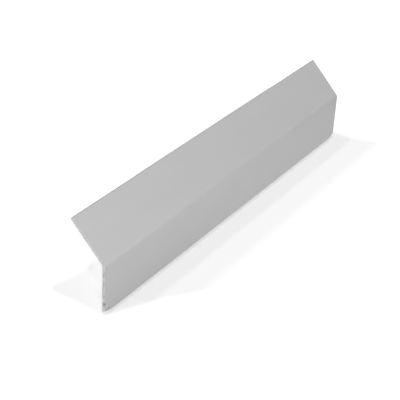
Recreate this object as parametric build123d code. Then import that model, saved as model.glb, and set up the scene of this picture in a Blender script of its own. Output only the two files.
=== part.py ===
from build123d import *
import os
from math import cos, radians, sin

os.makedirs("parts", exist_ok=True)

# An obtuse angle section: one strip of aluminium with two equal legs and one rounded bend,
# cut square at both ends. It lies like a low roof, ridge up, on its two free edges.
# The origin is on the floor under the middle of the ridge: +X along the bar, +Z up.

# Driving dimensions, millimetres and degrees
included_angle = 135.0   # between the two legs
leg_width = 30.0         # from the sharp outer corner line to the free edge, both legs alike
wall = 1.5               # thickness of the strip
bar_length = 260.0       # from end to end
inside_radius = 1.5      # of the bend, on the hollow side
edge_radius = 0.3        # of the long corners of the free edges
ease_length = 6.2        # of the front leg's eased corners, measured along the bar
ease_depth = 1.9         # of the same corners, measured up the leg
end_chamfer = 0.15       # round both cut ends, where the saw burr is taken off

# What follows from them
outside_radius = inside_radius + wall
slope = radians((180.0 - included_angle) / 2.0)   # of each leg below the horizontal
half_length = bar_length / 2.0
tool_margin = 2.0 * wall                          # how far a cutting tool reaches past the metal


def leg_point(side, down_leg, depth):
    # a point (y, z) of the section: side is -1 for the front leg and +1 for the back leg,
    # down_leg runs from the ridge along the outer face and depth goes into the wall
    across = down_leg * cos(slope) - depth * sin(slope)
    height = -down_leg * sin(slope) - depth * cos(slope)
    return (side * across, height)


def section():
    # both skins are parallel round the bend, so their arcs share one centre
    front_outside = leg_point(-1, leg_width, 0.0)
    front_inside = leg_point(-1, leg_width, wall)
    back_outside = leg_point(1, leg_width, 0.0)
    back_inside = leg_point(1, leg_width, wall)
    ridge_outside = (0.0, 0.0)
    ridge_inside = (0.0, -wall / cos(slope))
    outline = [
        FilletPolyline(front_outside, ridge_outside, back_outside, radius=outside_radius),
        Line(back_outside, back_inside),
        FilletPolyline(back_inside, ridge_inside, front_inside, radius=inside_radius),
        Line(front_inside, front_outside),
    ]
    strip = make_face(outline)
    free_corners = strip.vertices().sort_by(Axis.Y)[:4]
    return Plane.YZ * fillet(free_corners, radius=min(edge_radius, 0.4 * wall))


def front_leg_plane():
    # lies on the front leg's outer face with its origin at the middle of the free edge:
    # x runs along the bar, y up the leg and z out of the metal
    free_edge = leg_point(-1, leg_width, 0.0)
    return Plane(origin=(0.0, *free_edge), x_dir=(1.0, 0.0, 0.0), z_dir=(0.0, -sin(slope), cos(slope)))


def corner_wedge(end):
    # what the easing takes off the front leg's free corner, end being -1 or +1
    rise = ease_depth / ease_length
    start = half_length - ease_length
    outline = [
        (end * start, 0.0),
        (end * (half_length + tool_margin), ease_depth + rise * tool_margin),
        (end * (half_length + tool_margin), -tool_margin),
        (end * start, -tool_margin),
    ]
    face = front_leg_plane() * make_face(Polyline(*outline, close=True))
    return extrude(face, amount=wall + tool_margin, both=True)


def angle_section():
    bar = extrude(section(), amount=half_length, both=True)
    for end in (-1, 1):
        bar -= corner_wedge(end)
    cut_ends = bar.faces().filter_by(Axis.X)
    bar = chamfer(cut_ends.edges(), length=min(end_chamfer, 0.2 * wall))
    return Pos(0.0, 0.0, -bar.bounding_box().min.Z) * bar


export_step(angle_section(), "parts/angle_section.step")
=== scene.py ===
import bpy
import math
from mathutils import Matrix, Vector, noise


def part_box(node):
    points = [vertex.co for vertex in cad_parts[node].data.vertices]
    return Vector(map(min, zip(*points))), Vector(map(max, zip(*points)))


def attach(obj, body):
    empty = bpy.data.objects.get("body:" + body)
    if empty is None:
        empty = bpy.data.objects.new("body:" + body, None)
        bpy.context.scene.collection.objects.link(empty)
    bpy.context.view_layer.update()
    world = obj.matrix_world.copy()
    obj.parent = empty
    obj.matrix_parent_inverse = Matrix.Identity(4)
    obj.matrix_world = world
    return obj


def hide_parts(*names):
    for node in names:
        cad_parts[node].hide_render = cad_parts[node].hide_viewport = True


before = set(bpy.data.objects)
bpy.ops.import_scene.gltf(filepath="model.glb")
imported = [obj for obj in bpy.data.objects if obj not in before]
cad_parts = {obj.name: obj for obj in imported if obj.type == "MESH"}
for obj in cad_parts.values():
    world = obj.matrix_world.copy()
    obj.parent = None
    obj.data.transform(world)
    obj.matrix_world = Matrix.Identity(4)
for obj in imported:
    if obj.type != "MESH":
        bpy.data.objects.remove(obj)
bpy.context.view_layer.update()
print("frame loaded:", len(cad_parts), "piece")

mm = 0.001

barSizes = {        # leg -1 is the front one, on the -Y side, and leg 1 the back one
    "legWidth": 30.0 * mm,      # from the sharp outer corner line to the free edge
    "wall": 1.5 * mm,
    "includedAngle": 135.0,
    "foldShift": 0.4 * mm,      # makes the front leg wider by this much, and the back leg narrower
    "insideRadius": 1.5 * mm,
    "edgeRadius": 0.3 * mm,     # long corners of the free edges
    "easeLength": 6.2 * mm,     # eased corners of the front leg, along the bar
    "easeDepth": (1.6 * mm, 2.2 * mm),      # and up the leg, at the near end and at the far one
    "arris": 0.12 * mm,         # rounding where the saw burr is filed off
    "arrisSteps": 3,
    "cornerSteps": 4,
    "flatSteps": 140,           # across each leg
    "bendSteps": 18,
    "wallSteps": 8,             # through the wall, on the cut ends
    "endStep": 0.2 * mm,        # close stations near the ends, for the marks there
    "endZone": 5.0 * mm,
    "easeSteps": 6,
    "middleSteps": 34,
}

sawCut = {
    "spacing": 0.9 * mm,        # of the ridges that the blade left, along the leg
    "depth": 0.03 * mm,
    "lean": 0.7,                # they lean along the leg as they cross the wall
    "swell": 4.6 * mm,          # slower waves, where the blade wandered
    "swellDepth": 0.035 * mm,
    "seeds": (3.7, 21.3),       # near end, far end
    "swellSeed": 9.0,
    "settle": 2.4 * mm,         # how far in from the end the surface takes up the unevenness
    "filing": 0.6 * mm,         # spacing of the unevenness of the filed arris
    "filingShare": 0.5,
    "filingSeeds": (40.3, 80.3),
    "skinSeed": 9.0,            # sets the inner skin's arris apart from the outer one's
}

marks = {
    # near end: leg, up from its free edge, into the wall, two half sizes, depth, how dark the painted
    # shade in it is
    "pits": [
        (-1, 6.1 * mm, 0.42 * mm, 2.00 * mm, 0.68 * mm, 0.60 * mm, 0.62),
        (-1, 11.1 * mm, 0.50 * mm, 1.00 * mm, 0.60 * mm, 0.22 * mm, 0.45),
        (-1, 16.2 * mm, 0.90 * mm, 0.70 * mm, 0.35 * mm, 0.12 * mm, 0.30),
        (-1, 18.5 * mm, 0.40 * mm, 0.75 * mm, 0.55 * mm, 0.22 * mm, 0.45),
        (-1, 19.6 * mm, 0.85 * mm, 0.80 * mm, 0.35 * mm, 0.14 * mm, 0.30),
        (-1, 23.7 * mm, 0.60 * mm, 1.00 * mm, 0.60 * mm, 0.24 * mm, 0.45),
        (-1, 25.4 * mm, 0.20 * mm, 0.90 * mm, 0.40 * mm, 0.20 * mm, 0.40),
        (-1, 28.7 * mm, 0.85 * mm, 0.55 * mm, 0.35 * mm, 0.10 * mm, 0.25),
        (1, 4.0 * mm, 1.00 * mm, 0.50 * mm, 0.30 * mm, 0.10 * mm, 0.20),
        (1, 12.5 * mm, 1.05 * mm, 0.70 * mm, 0.30 * mm, 0.10 * mm, 0.20),
        (1, 19.0 * mm, 0.95 * mm, 0.50 * mm, 0.30 * mm, 0.10 * mm, 0.20),
    ],
    # front leg's outer face: in from the near end, up from the free edge, radius, depth, how dark the
    # painted shade in it is
    "nicks": [
        (3.8 * mm, 1.95 * mm, 0.95 * mm, 0.30 * mm, 0.70),
        (1.4 * mm, 2.1 * mm, 0.60 * mm, 0.12 * mm, 0.35),
    ],
    "nickSeed": 7.0,
    "rimSpacing": 0.55 * mm,    # of the unevenness of their rims
    "rimShift": (0.30 * mm, 0.22 * mm),     # the most that it moves them, each way
    "rimApart": (31.0, 17.0, 5.0),      # far enough for the two shifts to differ
    "shadeGain": 2.0,           # the painted shade fills them to near their rims
}


def bell(a, b):
    # a soft bump of height one, gone at one unit from its middle
    reach = a * a + b * b
    return (1.0 - reach) ** 2 if reach < 1.0 else 0.0


def markShadeOf(shape, dark):
    # how much painted shade a mark gets where it has this share of its depth; it stands in for the shade
    # in its hollow
    return dark * min(1.0, marks["shadeGain"] * shape)


def easing(fromNear, fromFar, sizes):
    # how much of the front leg's width is gone here
    near, far = (depth * (1.0 - fromEnd / sizes["easeLength"])
                 for depth, fromEnd in zip(sizes["easeDepth"], (fromNear, fromFar)))
    return max(near, far, 0.0)


def ragged(a, b, seed):
    # shifts a place a little, so that the pits and nicks get uneven rims
    place = Vector((a / marks["rimSpacing"], b / marks["rimSpacing"], seed))
    shiftA, shiftB = marks["rimShift"]
    return a + shiftA * noise.noise(place), b + shiftB * noise.noise(place + Vector(marks["rimApart"]))


def pitsAt(side, up, depth):
    # how deep the pits of the near end are here, and how much painted shade they get
    dent, markShade = 0.0, 0.0
    up, depth = ragged(up, depth, side)
    for leg, pitUp, pitDepth, halfUp, halfDepth, deep, dark in marks["pits"]:
        if leg == side:
            shape = bell((up - pitUp) / halfUp, (depth - pitDepth) / halfDepth)
            dent += deep * shape
            markShade = max(markShade, markShadeOf(shape, dark))
    return dent, markShade


def nicksAt(fromNear, up):
    # how deep the nicks of the front leg's outer face are here, and their painted shade
    dent, markShade = 0.0, 0.0
    x, up = ragged(fromNear, up, marks["nickSeed"])
    for nickX, nickUp, radius, deep, dark in marks["nicks"]:
        shape = bell((x - nickX) / radius, (up - nickUp) / radius)
        dent += deep * shape
        markShade = max(markShade, markShadeOf(shape, dark))
    return dent, markShade


def sawRelief(nearEnd, across, depth):
    # how far the cut end lies inside its plane, across being the place on the unrolled strip
    seed = sawCut["seeds"][0 if nearEnd else 1]
    along = across + sawCut["lean"] * depth
    line = noise.noise(Vector((along / sawCut["spacing"], depth / sawCut["swell"], seed)))
    wave = noise.noise(Vector((along / sawCut["swell"], 0.0, seed + sawCut["swellSeed"])))
    return sawCut["depth"] * (0.5 + 0.5 * line) + sawCut["swellDepth"] * (0.5 + 0.5 * wave)


def filedRim(sizes, nearEnd, across, skin):
    # how wide the filed arris is here, on the outer skin (0) or the inner one (1)
    seed = sawCut["filingSeeds"][0 if nearEnd else 1] + sawCut["skinSeed"] * skin
    uneven = noise.noise(Vector((across / sawCut["filing"], 0.0, seed)))
    return sizes["arris"] * (1.0 + sawCut["filingShare"] * uneven)


def outerRadius(sizes):
    return sizes["insideRadius"] + sizes["wall"]


def nominalSlope(sizes):
    # of each leg, if both had the same width
    return math.radians((180.0 - sizes["includedAngle"]) / 2)


def legColumns(sizes, width):
    # (distance from the free edge, how far the rounded corner eats into the wall there)
    radius, steps = sizes["edgeRadius"], sizes["cornerSteps"]
    flat = width - outerRadius(sizes) * math.tan(nominalSlope(sizes))
    columns = []
    for k in range(steps):
        turn = math.pi / 2 * k / steps
        columns.append((radius * (1 - math.cos(turn)), radius * (1 - math.sin(turn))))
    for k in range(sizes["flatSteps"] + 1):
        columns.append((radius + (flat - radius) * k / sizes["flatSteps"], 0.0))
    return columns


def foldedLegs(sizes):
    # each leg's width and slope, and the height of the fold's corner, with both free edges on the floor
    widths = {-1: sizes["legWidth"] + sizes["foldShift"], 1: sizes["legWidth"] - sizes["foldShift"]}
    included = math.radians(sizes["includedAngle"])
    product = widths[-1] * widths[1]
    span = math.sqrt(widths[-1] ** 2 + widths[1] ** 2 - 2 * product * math.cos(included))
    height = product * math.sin(included) / span
    return widths, {side: math.asin(height / width) for side, width in widths.items()}, height


def sectionColumns(sizes, eased, corner):
    # the columns that cross the wall, from the front free edge over the fold to the back one, each with
    # its leg, outer point, direction into the wall, how much a rounded corner eats of the wall, its
    # distance from the free edge, and its place across the unrolled strip
    widths, slopes = foldedLegs(sizes)[:2]
    half = (slopes[-1] + slopes[1]) / 2
    lean = (slopes[1] - slopes[-1]) / 2     # of the fold's middle, as the legs differ in width
    legs = {}
    for side, width in ((-1, widths[-1] - eased), (1, widths[1])):
        away = (side * math.cos(slopes[side]), -math.sin(slopes[side]))
        inward = (side * away[1], -side * away[0])
        legs[side] = []
        for fromEdge, eaten in legColumns(sizes, width):
            down = width - fromEdge
            point = (corner[0] + down * away[0], corner[1] + down * away[1])
            legs[side].append((side, point, inward, eaten, fromEdge, side * down + sizes["foldShift"]))
    return legs[-1] + bendColumns(sizes, half, lean, corner) + legs[1][::-1]


def bendColumns(sizes, half, lean, corner):
    # the same for the bend, without its first and last line, which the legs have
    bend = outerRadius(sizes)
    reach = bend / math.cos(half)
    centre = (corner[0] - reach * math.sin(lean), corner[1] - reach * math.cos(lean))
    columns = []
    for k in range(1, sizes["bendSteps"]):
        turn = half * (2 * k / sizes["bendSteps"] - 1)
        out = (math.sin(turn + lean), math.cos(turn + lean))
        point = (centre[0] + bend * out[0], centre[1] + bend * out[1])
        across = bend * math.tan(half) * turn / half + sizes["foldShift"]
        side = -1 if turn < 0 else 1
        columns.append((side, point, (-out[0], -out[1]), 0.0, sizes["legWidth"], across))
    return columns


def foldCorner(sizes, top):
    # where the two outer faces would meet
    widths, slopes, height = foldedLegs(sizes)
    slope, bend = nominalSlope(sizes), outerRadius(sizes)
    sharp = top + bend / math.cos(slope) - bend
    aside = (widths[-1] * math.cos(slopes[-1]) - widths[1] * math.cos(slopes[1])) / 2
    return aside, sharp - sizes["legWidth"] * math.sin(slope) + height


def stations(sizes, length):
    # (place along the bar, rounding of the arris there from 1 at the cut to 0), with half of the
    # easeSteps up to the end of the eased corners and half past it
    arris, zone = sizes["arris"], sizes["endZone"]
    near = []
    for k in range(sizes["arrisSteps"] + 1):
        turn = math.pi / 2 * k / sizes["arrisSteps"]
        near.append((arris * (1 - math.cos(turn)), 1 - math.sin(turn)))
    closeSteps = round((zone - arris) / sizes["endStep"])
    for k in range(1, closeSteps + 1):
        near.append((arris + (zone - arris) * k / closeSteps, 0.0))
    for k in range(1, sizes["easeSteps"] + 1):
        near.append((zone + 2 * (sizes["easeLength"] - zone) * k / sizes["easeSteps"], 0.0))
    start = near[-1][0]
    inner = length - 2 * start
    row = [(x - length / 2, rounding) for x, rounding in near]
    for k in range(1, sizes["middleSteps"]):
        row.append((start + inner * k / sizes["middleSteps"] - length / 2, 0.0))
    return row + [(length / 2 - x, rounding) for x, rounding in near[::-1]]


def barVertex(sizes, x, length, column, i, rounding):
    # one vertex of the bar, its place on the unrolled strip and its painted shade
    side, point, inward, eaten, fromEdge, across = column
    fromNear, fromFar = x + length / 2, length / 2 - x
    fromEnd, nearEnd = min(fromNear, fromFar), fromNear < fromFar
    up = sizes["legWidth"] - side * across      # from the free edge, as if it had no eased corners
    share = i / sizes["wallSteps"]
    outer, inner = (rounding * filedRim(sizes, nearEnd, across, skin) for skin in (0, 1))
    drawn = outer + (inner - outer) * share     # the arris draws the free edge in as well
    depth = eaten + outer + (sizes["wall"] - 2 * eaten - outer - inner) * share
    markShade = 0.0
    if side < 0 and i == 0 and nearEnd:
        dent, markShade = nicksAt(fromNear, up)
        depth += dent
    pull = drawn * max(0.0, 1.0 - fromEdge / (2 * sizes["edgeRadius"]))
    y = point[0] + inward[0] * depth + side * inward[1] * pull
    z = point[1] + inward[1] * depth - side * inward[0] * pull
    if fromEnd < sawCut["settle"]:
        hold = (1.0 - fromEnd / sawCut["settle"]) ** 2      # the share of the cut's unevenness left here
        dent, pitsShade = pitsAt(side, up, depth) if nearEnd else (0.0, 0.0)
        markShade = max(markShade, pitsShade * hold)
        shift = (sawRelief(nearEnd, across, depth) + dent) * hold
        x += shift if nearEnd else -shift
    return Vector((x, y, z)), (fromNear, across, depth), markShade


def buildBar(sizes):
    # the vertices, their places on the unrolled strip and their painted shade, the ring of vertices at
    # each station, the grids of the two cut ends, and the number of their last column
    low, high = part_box("angle_section")
    length = high.x - low.x
    corner = foldCorner(sizes, high.z)
    rows = sizes["wallSteps"]
    verts, strip, markShade, rings, caps = [], [], [], [], []
    places = stations(sizes, length)
    for n, (x, rounding) in enumerate(places):
        columns = sectionColumns(sizes, easing(x + length / 2, length / 2 - x, sizes), corner)
        last = len(columns) - 1
        isCap = n in (0, len(places) - 1)
        grid = {}
        for j, column in enumerate(columns):
            for i in range(rows + 1):
                if isCap or j in (0, last) or i in (0, rows):
                    grid[j, i] = len(verts)
                    place, onStrip, paintedShade = barVertex(sizes, x, length, column, i, rounding)
                    verts.append(place)
                    strip.append(onStrip)
                    markShade.append(paintedShade)
        ring = [grid[j, 0] for j in range(last + 1)]
        ring += [grid[last, i] for i in range(1, rows)]
        ring += [grid[j, rows] for j in range(last, -1, -1)]
        ring += [grid[0, i] for i in range(rows - 1, 0, -1)]
        rings.append(ring)
        if isCap:
            caps.append(grid)
    return verts, strip, markShade, rings, caps, last


mapLayout = {"margin": 0.004, "gap": 0.012, "skin": 0.80, "cap": 0.075}     # shares of the texture map


def skinFaces(sizes, verts, rings):
    # (face, whether the saw made it, its corners on the texture map) along the whole bar
    margin, skin = mapLayout["margin"], mapLayout["skin"]
    middle = rings[len(rings) // 2]
    around = [0.0]
    for k in range(len(middle)):
        step = verts[middle[(k + 1) % len(middle)]] - verts[middle[k]]
        around.append(around[-1] + step.length)
    low, high = verts[rings[0][0]].x, verts[rings[-1][0]].x
    cut = sizes["arrisSteps"]

    def onMap(vertex, k):
        along = min(max((verts[vertex].x - low) / (high - low), 0.0), 1.0)
        return (margin + (1 - 2 * margin) * along, margin + skin * around[k] / around[-1])

    for n in range(len(rings) - 1):
        a, b = rings[n], rings[n + 1]
        isSawn = n < cut or n >= len(rings) - 1 - cut
        for k in range(len(a)):
            m = (k + 1) % len(a)
            corners = [onMap(a[k], k), onMap(b[k], k), onMap(b[m], k + 1), onMap(a[m], k + 1)]
            yield (a[k], b[k], b[m], a[m]), isSawn, corners


def capFaces(sizes, caps, last):
    # the same for the two cut ends
    margin, gap, height = mapLayout["margin"], mapLayout["gap"], mapLayout["cap"]
    rows = sizes["wallSteps"]
    for end, grid in enumerate(caps):
        base = mapLayout["skin"] + gap + end * (height + gap)
        for j in range(last):
            for i in range(rows):
                spots = [(j, i), (j + 1, i), (j + 1, i + 1), (j, i + 1)]
                if end == 1:
                    spots.reverse()
                corners = [(margin + (1 - 2 * margin) * p / last, base + height * q / rows)
                           for p, q in spots]
                yield tuple(grid[spot] for spot in spots), True, corners


def barMesh(sizes):
    verts, strip, markShade, rings, caps, last = buildBar(sizes)
    rows = list(skinFaces(sizes, verts, rings)) + list(capFaces(sizes, caps, last))
    faces, sawnFlags, corners = zip(*rows)
    mesh = bpy.data.meshes.new("angleBar")
    mesh.from_pydata(verts, [], faces)
    mesh.update()
    onStrip = mesh.attributes.new("strip", "FLOAT_VECTOR", "POINT")
    onStrip.data.foreach_set("vector", [value for place in strip for value in place])
    # painted shade of the pits and nicks, darkest in their hollows
    paintedShade = mesh.attributes.new("markShade", "FLOAT", "POINT")
    paintedShade.data.foreach_set("value", markShade)
    layer = mesh.uv_layers.new(name="OFBake")
    layer.data.foreach_set("uv", [value for face in corners for corner in face for value in corner])
    for polygon, isSawn in zip(mesh.polygons, sawnFlags):
        polygon.material_index = 1 if isSawn else 0
        polygon.use_smooth = True
    return mesh


bar = bpy.data.objects.new("angleBar", barMesh(barSizes))
bpy.context.scene.collection.objects.link(bar)
print("bar built:", len(bar.data.polygons), "faces")

satin = {
    "colour": 0.390,            # neutral, like all of the bar's tones
    "roughness": 0.42,
    "lines": (9.0, 2600.0, 0.0),    # fine lines along the bar, per metre along and across
    "lineDetail": 4.0,
    "lineTone": 0.09,
    "grainRoughness": 0.12,
    "grainBump": 0.30,
    "cloud": (30.0, 60.0, 0.0),     # soft unevenness of the finish
    "cloudDetail": 2.0,
    "cloudTone": 0.02,
}

paintedShading = {       # painted light and shade on the satin: strips that fade between two distances, and the share of the tone that they change
    "edgeStrip": (0.25 * mm, 1.0 * mm),     # painted dark line along the back leg's free edge and the far end
    "edgeTone": 0.10,
    "backStrip": (4.0 * mm, 21.0 * mm),     # painted light: the back leg is a touch brighter towards its free edge
    "backTone": 0.018,
    "frontTone": 0.045,         # painted shade: the front leg darkens a little towards its free edge and its far end
    "farShare": 0.65,           # of the length over which the painted shade of the far end fades
    "nearShare": (0.1, 0.5),    # of the length over which the painted shade of the near end fades
    "nearStrip": (0.0, 18.0 * mm),          # painted shade up from the front free edge, towards the near end
    "nearTone": 0.040,
    "foldStrip": (1.0 * mm, 7.0 * mm),      # painted shade under the fold, towards the far end
    "foldTone": (0.020, 0.060),             # and more in the last stretch of it
    "foldStretch": 26.0 * mm,
    "lowStrip": (1.2 * mm, 2.6 * mm),       # painted shade beside the front free edge
    "lowTone": (0.015, 0.075),              # far from the near end, and at it
    "rimStrip": (0.5 * mm, 1.5 * mm),       # painted highlight: the front free edge itself is a little brighter
    "rimTone": 0.13,
}

sawn = {
    "colour": 0.54,
    "roughness": 0.50,
    "streaks": (0.0, 1900.0, 520.0),    # left by the blade, per metre across the strip and into the wall
    "streakDetail": 3.0,
    "streakTone": 0.40,
    "grainRoughness": 0.20,
    "grainBump": 0.8,
    "blotches": (0.0, 420.0, 420.0),
    "blotchDetail": 2.0,
    "blotchTone": 0.18,
}

# colour of the painted shade in the pits and nicks, and the roughness there
markShadeLook = {"colour": 0.14, "roughness": 0.8}

bumpDepth = 0.02 * mm


class Graph:
    # short names for the nodes that the finishes use
    def __init__(self, name):
        self.material = bpy.data.materials.new(name)
        self.material.use_nodes = True
        self.nodes = self.material.node_tree.nodes
        self.links = self.material.node_tree.links
        self.shader = self.nodes["Principled BSDF"]

    def put(self, value, socket):
        # a number is set, and an output is linked
        if isinstance(value, (int, float)):
            socket.default_value = value
        else:
            self.links.new(value, socket)

    def math(self, operation, *values):
        node = self.nodes.new("ShaderNodeMath")
        node.operation = operation
        for value, socket in zip(values, node.inputs):
            self.put(value, socket)
        return node.outputs[0]

    def total(self, *values):
        result = values[0]
        for value in values[1:]:
            result = self.math("ADD", result, value)
        return result

    def attribute(self, name):
        node = self.nodes.new("ShaderNodeAttribute")
        node.attribute_name = name
        return node

    def noise(self, place, scale, detail):
        # from -1 to 1, with an even spread about nought
        mapping = self.nodes.new("ShaderNodeMapping")
        mapping.inputs["Scale"].default_value = scale
        self.links.new(place, mapping.inputs["Vector"])
        texture = self.nodes.new("ShaderNodeTexNoise")
        texture.inputs["Scale"].default_value = 1.0
        texture.inputs["Detail"].default_value = detail
        self.links.new(mapping.outputs[0], texture.inputs["Vector"])
        centred = self.math("SUBTRACT", texture.outputs["Fac"], 0.5)
        return self.math("MULTIPLY", centred, 2.0)

    def grey(self, tone, socket):
        node = self.nodes.new("ShaderNodeCombineColor")
        for k in range(3):
            self.put(tone, node.inputs[k])
        self.links.new(node.outputs[0], socket)

    def bump(self, height, strength):
        node = self.nodes.new("ShaderNodeBump")
        node.inputs["Strength"].default_value = strength
        node.inputs["Distance"].default_value = bumpDepth
        self.put(height, node.inputs["Height"])
        self.links.new(node.outputs[0], self.shader.inputs["Normal"])

    def blend(self, fac, low, high):
        # low where fac is nought and high where it is one
        node = self.nodes.new("ShaderNodeMapRange")
        self.put(fac, node.inputs["Value"])
        self.put(low, node.inputs["To Min"])
        self.put(high, node.inputs["To Max"])
        return node.outputs["Result"]

    def ramp(self, value, start, end):
        # falls smoothly from one at the start to nought at the end
        node = self.nodes.new("ShaderNodeMapRange")
        node.interpolation_type = "SMOOTHSTEP"
        self.put(value, node.inputs["Value"])
        self.put(start, node.inputs["From Min"])
        self.put(end, node.inputs["From Max"])
        node.inputs["To Min"].default_value = 1.0
        node.inputs["To Max"].default_value = 0.0
        return node.outputs["Result"]

    def strip(self, distance, reach, tone):
        # the tone within the first distance of the reach, fading to nought at the second
        return self.math("MULTIPLY", self.ramp(distance, *reach), tone)

    def finish(self, look, tone, grain):
        # the metal's colour, roughness and relief, with the painted shade of the pits and nicks over
        # them
        markShade = self.attribute("markShade").outputs["Fac"]
        clean = self.math("MULTIPLY", tone, look["colour"])
        self.grey(self.blend(markShade, clean, markShadeLook["colour"]), self.shader.inputs["Base Color"])
        self.shader.inputs["Metallic"].default_value = 1.0
        rough = self.math("MULTIPLY_ADD", grain, look["grainRoughness"], look["roughness"])
        dirty = self.math("MULTIPLY", markShade, markShadeLook["roughness"])
        self.links.new(self.math("MAXIMUM", rough, dirty), self.shader.inputs["Roughness"])
        self.bump(grain, look["grainBump"])
        return self.material


def frontShading(graph, along, across, length):
    # how much painted shade darkens the front leg, less the painted highlight on its free edge; along
    # starts at the near end, and across at the strip's middle, where the fold is but for its shift, with
    # the front free edge at minus the leg's width
    fromMiddle = graph.math("ABSOLUTE", across)
    fromEdge = graph.math("SUBTRACT", barSizes["legWidth"], fromMiddle)
    fromFar = graph.math("SUBTRACT", length, along)
    down = graph.math("MULTIPLY", across, -1.0 / barSizes["legWidth"])
    far = graph.ramp(fromFar, 0.0, paintedShading["farShare"] * length)
    near = graph.ramp(along, *(share * length for share in paintedShading["nearShare"]))
    broad = graph.math("MULTIPLY", graph.math("MAXIMUM", down, far), paintedShading["frontTone"])
    nearStrip = graph.strip(fromEdge, paintedShading["nearStrip"], paintedShading["nearTone"])
    foldTone = graph.blend(graph.ramp(fromFar, 0.0, paintedShading["foldStretch"]), *paintedShading["foldTone"])
    foldStrip = graph.strip(fromMiddle, paintedShading["foldStrip"], foldTone)
    lowStrip = graph.strip(fromEdge, paintedShading["lowStrip"], graph.blend(near, *paintedShading["lowTone"]))
    rim = graph.strip(fromEdge, paintedShading["rimStrip"], paintedShading["rimTone"])
    frontShade = graph.total(broad, graph.math("MULTIPLY", nearStrip, near),
                         graph.math("MULTIPLY", foldStrip, far), lowStrip)
    onFront = graph.ramp(across, -barSizes["insideRadius"], barSizes["insideRadius"])
    return graph.math("MULTIPLY", graph.math("SUBTRACT", frontShade, rim), onFront)


def satinAluminium():
    graph = Graph("satinAluminium")
    low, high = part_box("angle_section")
    length = high.x - low.x
    place = graph.attribute("strip").outputs["Vector"]
    split = graph.nodes.new("ShaderNodeSeparateXYZ")
    graph.links.new(place, split.inputs[0])
    along, across = split.outputs["X"], split.outputs["Y"]
    lines = graph.noise(place, satin["lines"], satin["lineDetail"])
    cloud = graph.noise(place, satin["cloud"], satin["cloudDetail"])
    fromBack = graph.math("SUBTRACT", barSizes["legWidth"], across)
    fromFar = graph.math("SUBTRACT", length, along)
    # painted light: the back leg brighter towards its free edge
    bright = graph.strip(fromBack, paintedShading["backStrip"], paintedShading["backTone"])
    fromRim = graph.math("MINIMUM", fromBack, fromFar)
    # painted dark line along the back free edge and the far end
    edge = graph.strip(fromRim, paintedShading["edgeStrip"], paintedShading["edgeTone"])
    tone = graph.total(graph.math("MULTIPLY_ADD", lines, satin["lineTone"], 1.0),
                       graph.math("MULTIPLY", cloud, satin["cloudTone"]), bright)
    # painted shade, with a painted highlight on the front free edge, taken off the tone
    shadeTotal = graph.total(edge, frontShading(graph, along, across, length))
    return graph.finish(satin, graph.math("SUBTRACT", tone, shadeTotal), lines)


def sawnAluminium():
    graph = Graph("sawnAluminium")
    place = graph.attribute("strip").outputs["Vector"]
    streaks = graph.noise(place, sawn["streaks"], sawn["streakDetail"])
    blotches = graph.noise(place, sawn["blotches"], sawn["blotchDetail"])
    tone = graph.total(graph.math("MULTIPLY_ADD", streaks, sawn["streakTone"], 1.0),
                       graph.math("MULTIPLY", blotches, sawn["blotchTone"]))
    return graph.finish(sawn, tone, streaks)


bar.data.materials.append(satinAluminium())
bar.data.materials.append(sawnAluminium())

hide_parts("angle_section")
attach(bar, "root")
print("finishes made")

floorLook = {"size": 6.0, "glow": 0.50, "colour": 0.9}


def shownWhite(nodes, links):
    # one where the eye, a mirror or a glass sees the surface, and nought where it only lights the bar
    path = nodes.new("ShaderNodeLightPath")
    seen = path.outputs["Is Camera Ray"]
    for name in ("Is Glossy Ray", "Is Transmission Ray"):
        either = nodes.new("ShaderNodeMath")
        either.operation = "MAXIMUM"
        links.new(seen, either.inputs[0])
        links.new(path.outputs[name], either.inputs[1])
        seen = either.outputs[0]
    return seen


def paleFloor():
    # matte, with a share of plain white where it is seen
    material = bpy.data.materials.new("paleFloor")
    material.use_nodes = True
    nodes, links = material.node_tree.nodes, material.node_tree.links
    nodes.remove(nodes["Principled BSDF"])
    matte = nodes.new("ShaderNodeBsdfDiffuse")
    matte.inputs["Color"].default_value = (floorLook["colour"],) * 3 + (1,)
    glow = nodes.new("ShaderNodeEmission")
    glow.inputs["Strength"].default_value = 1.0
    share = nodes.new("ShaderNodeMath")
    share.operation = "MULTIPLY"
    share.inputs[1].default_value = floorLook["glow"]
    links.new(shownWhite(nodes, links), share.inputs[0])
    mix = nodes.new("ShaderNodeMixShader")
    links.new(share.outputs[0], mix.inputs["Fac"])
    links.new(matte.outputs[0], mix.inputs[1])
    links.new(glow.outputs[0], mix.inputs[2])
    links.new(mix.outputs[0], nodes["Material Output"].inputs["Surface"])
    return material


def buildFloor():
    half = floorLook["size"] / 2
    mesh = bpy.data.meshes.new("floor")
    square = [(-half, -half, 0), (half, -half, 0), (half, half, 0), (-half, half, 0)]
    mesh.from_pydata(square, [], [(0, 1, 2, 3)])
    mesh.materials.append(paleFloor())
    floor = bpy.data.objects.new("floor", mesh)
    bpy.context.scene.collection.objects.link(floor)


skyLook = {"ambient": 0.05}


def buildWorld():
    world = bpy.data.worlds.new("studio")
    bpy.context.scene.world = world
    world.use_nodes = True
    nodes, links = world.node_tree.nodes, world.node_tree.links
    background = nodes["Background"]
    background.inputs["Color"].default_value = (1, 1, 1, 1)
    level = nodes.new("ShaderNodeMapRange")
    level.inputs["To Min"].default_value = skyLook["ambient"]
    level.inputs["To Max"].default_value = 1.0
    links.new(shownWhite(nodes, links), level.inputs["Value"])
    links.new(level.outputs["Result"], background.inputs["Strength"])


def skyward(azimuth, elevation):
    # the direction of a place in the sky, the azimuth counted from +X towards +Y
    a, e = math.radians(azimuth), math.radians(elevation)
    return Vector((math.cos(a) * math.cos(e), math.sin(a) * math.cos(e), math.sin(e)))


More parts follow.
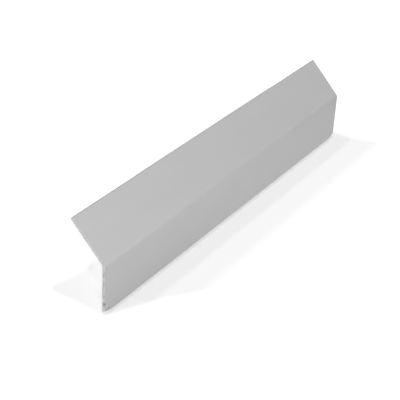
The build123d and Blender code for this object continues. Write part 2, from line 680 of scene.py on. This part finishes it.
def hang(data, place, back):
    # a lamp at the place, with its back turned that way
    lamp = bpy.data.objects.new(data.name, data)
    lamp.location = place
    lamp.rotation_euler = back.to_track_quat("Z", "Y").to_euler()
    bpy.context.scene.collection.objects.link(lamp)
    return lamp


suns = {        # azimuth, elevation and spread in degrees, share of the floor's white
    "sideSun": (121.0, 14.8, 1.1, 0.152),       # throws a shadow past the front leg
    "lowSun": (138.5, 8.3, 1.2, 0.18),          # and this one a wider one
    "farSun": (0.0, 25.0, 3.0, 0.20),           # throws one past the near end
    "contactSun": (96.0, 30.0, 16.0, 0.31),     # broad, for the soft shade beside the front free edge
    "shoulderSun": (158.3, 37.4, 12.0, 0.154),  # from behind the camera, with its shadow out of sight
}


def sunLamp(name, azimuth, elevation, spread, share):
    # lights the floor; the metal shows the softboxes instead
    data = bpy.data.lights.new(name, "SUN")
    data.angle = math.radians(spread)
    data.energy = share * math.pi / (floorLook["colour"] * math.sin(math.radians(elevation)))
    lamp = hang(data, (0.0, 0.0, 0.0), skyward(azimuth, elevation))
    lamp.visible_glossy = False


floorSpots = {      # point on the floor, cone in degrees, soft rim, share of the floor's white
    "nearSpot": (-152.1 * mm, 61.8 * mm, 12.2, 0.10, 0.45),
    "leftSpot": (-229.3 * mm, -61.6 * mm, 19.6, 0.06, 0.45),
    "endSpot": (-111.8 * mm, -12.8 * mm, 2.7, 0.35, 0.20),
    "farSpot": (256.4 * mm, 39.4 * mm, 15.0, 0.10, 0.45),
    "lowSpot": (-122.4 * mm, -356.6 * mm, 46.7, 0.05, 0.45),
}

spotBulb = 1.0 * mm


def floorSpot(name, place, x, y, cone, rim, share):
    # keeps the floor white beside the bar; the metal does not show it
    data = bpy.data.lights.new(name, "SPOT")
    throw = Vector((x, y, 0.0)) - place
    facing = -throw.normalized().z
    data.spot_size = math.radians(cone)
    data.spot_blend = rim
    data.shadow_soft_size = spotBulb
    data.energy = share * (2 * math.pi * throw.length) ** 2 / (floorLook["colour"] * facing)
    lamp = hang(data, place, -throw)
    lamp.visible_glossy = False


softboxes = {   # azimuth, elevation, distance, width, height, radiance
    "frontBox": (300.0, 45.0, 2.0, 1.6, 1.6, 0.80),     # the front leg shows this one
    "backBox": (30.0, 45.0, 2.0, 1.6, 1.6, 0.17),       # and the back leg these two
    "topBox": (20.0, 65.0, 2.0, 1.6, 1.6, 0.61),
}


def softbox(name, azimuth, elevation, distance, width, height, radiance):
    # shows in the metal only
    data = bpy.data.lights.new(name, "AREA")
    data.shape = "RECTANGLE"
    data.size, data.size_y = width, height
    data.energy = radiance * math.pi * width * height
    place = skyward(azimuth, elevation) * distance
    lamp = hang(data, place, place)
    lamp.visible_diffuse = False


cameraView = {
    "aim": (-36.518 * mm, -3.874 * mm, 8.0 * mm),
    "azimuth": 111.8080,
    "elevation": 37.2902,
    "roll": 87.1323,
    "distance": 635.279 * mm,
    "lens": 100.22,
    "sensor": 36.0,
    "clip": (0.01, 20.0),
}


def buildCamera():
    data = bpy.data.cameras.new("camera")
    data.sensor_width = cameraView["sensor"]
    data.lens = cameraView["lens"]
    data.clip_start, data.clip_end = cameraView["clip"]
    camera = bpy.data.objects.new("camera", data)
    bpy.context.scene.collection.objects.link(camera)
    azimuth, elevation = math.radians(cameraView["azimuth"]), math.radians(cameraView["elevation"])
    forward = Vector((math.sin(azimuth) * math.cos(elevation), math.cos(azimuth) * math.cos(elevation),
                      -math.sin(elevation)))
    level = forward.to_track_quat("-Z", "Y").to_matrix()
    turned = (level @ Matrix.Rotation(math.radians(cameraView["roll"]), 3, "Z")).to_4x4()
    place = Vector(cameraView["aim"]) - forward * cameraView["distance"]
    camera.matrix_world = Matrix.Translation(place) @ turned
    bpy.context.scene.camera = camera
    return place


buildFloor()
buildWorld()
for name, settings in suns.items():
    sunLamp(name, *settings)
for name, settings in softboxes.items():
    softbox(name, *settings)
cameraPlace = buildCamera()
for name, settings in floorSpots.items():
    floorSpot(name, cameraPlace, *settings)
bpy.context.scene.view_settings.view_transform = "Standard"
print("stage set")
